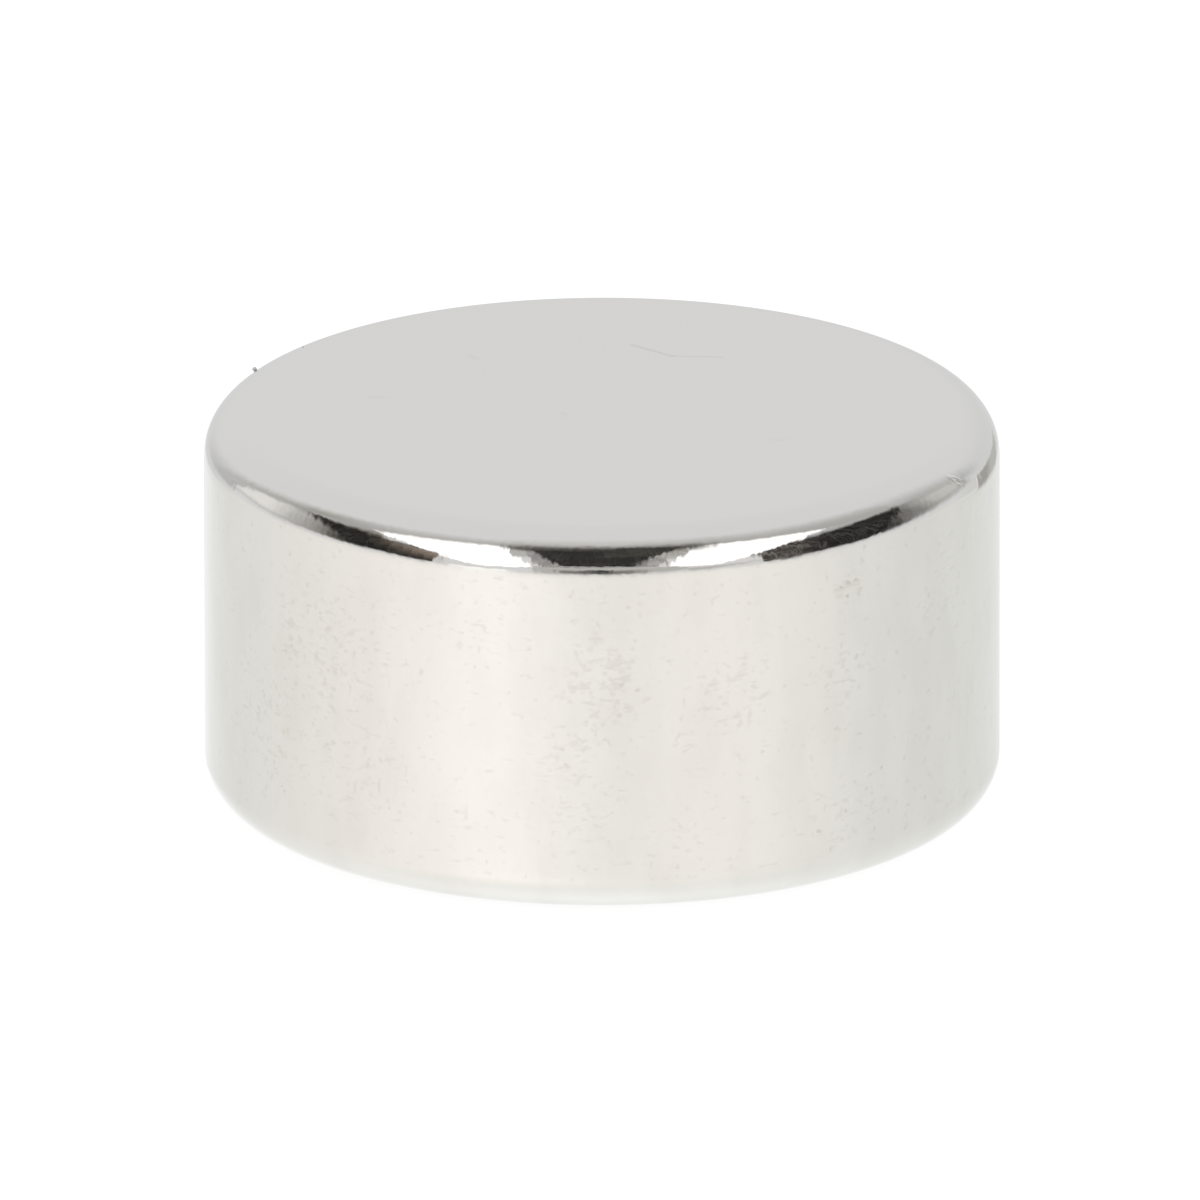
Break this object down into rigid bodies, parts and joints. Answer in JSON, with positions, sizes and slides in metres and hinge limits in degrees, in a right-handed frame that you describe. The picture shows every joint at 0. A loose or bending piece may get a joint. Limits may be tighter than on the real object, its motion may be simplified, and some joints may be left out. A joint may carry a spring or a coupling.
{
  "type": "disc magnet",
  "caption": "Thick round magnet with rounded rims, plated in bright nickel. It holds or latches steel through either flat face.",
  "frame": {"origin": "centre of the lower flat face, which the disc lies on", "axes": "+Z along the disc's axis, up through the upper flat face. The disc is the same all round, so +X and +Y are any two directions across it."},
  "size_m": [0.02, 0.02, 0.01],
  "materials": {
    "nickel_plate": "bright nickel plate, mirror-like on the faces and rims, and a fine satin with small pits on the wall",
    "iron_dust": "dark matt grain"
  },
  "bodies": {
    "root": {"magnet_disc": "nickel_plate"}
  },
  "joints": []
}
